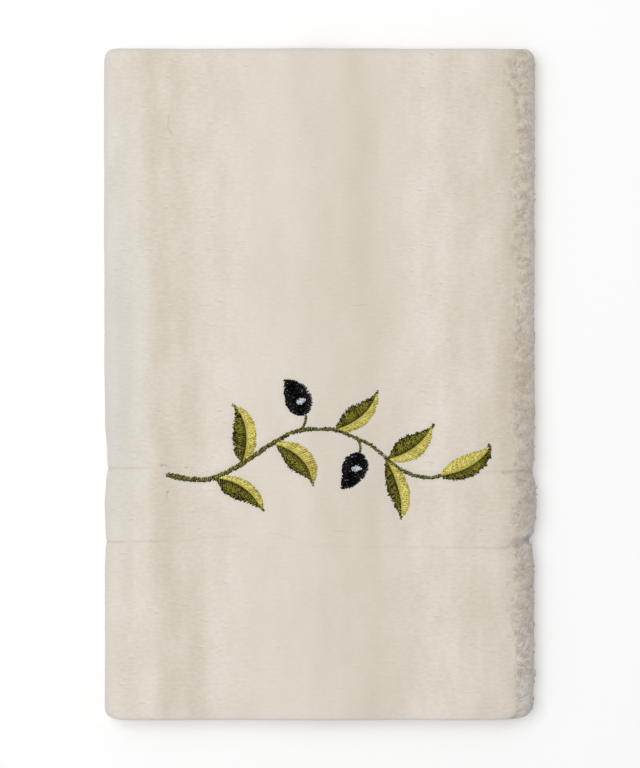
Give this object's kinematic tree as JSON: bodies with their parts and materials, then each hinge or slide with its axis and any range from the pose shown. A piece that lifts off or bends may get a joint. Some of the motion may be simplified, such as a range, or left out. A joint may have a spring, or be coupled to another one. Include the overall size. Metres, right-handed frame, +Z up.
{
  "type": "hand towel",
  "caption": "Velour hand towel folded in half and turned in at its sides, with flat woven lines across the face and an embroidered olive sprig.",
  "frame": {"origin": "middle of the underside, below the centre of the face", "axes": "+X across the face to the right, +Y from the loose ends to the fold, +Z up out of the face"},
  "size_m": [0.2474, 0.3822, 0.0193],
  "materials": {
    "cotton": "sheared cotton pile, matt with a soft sheen",
    "stem_thread": "dark olive satin stitch, soft gloss along the thread",
    "dark_leaf_thread": "olive green satin stitch, soft gloss along the thread",
    "light_leaf_thread": "yellow green satin stitch, soft gloss along the thread",
    "olive_thread": "blue black satin stitch, soft gloss along the thread",
    "glint_thread": "pale blue grey satin stitch, soft gloss along the thread"
  },
  "bodies": {
    "root": {"towel": "cotton"}
  },
  "joints": []
}
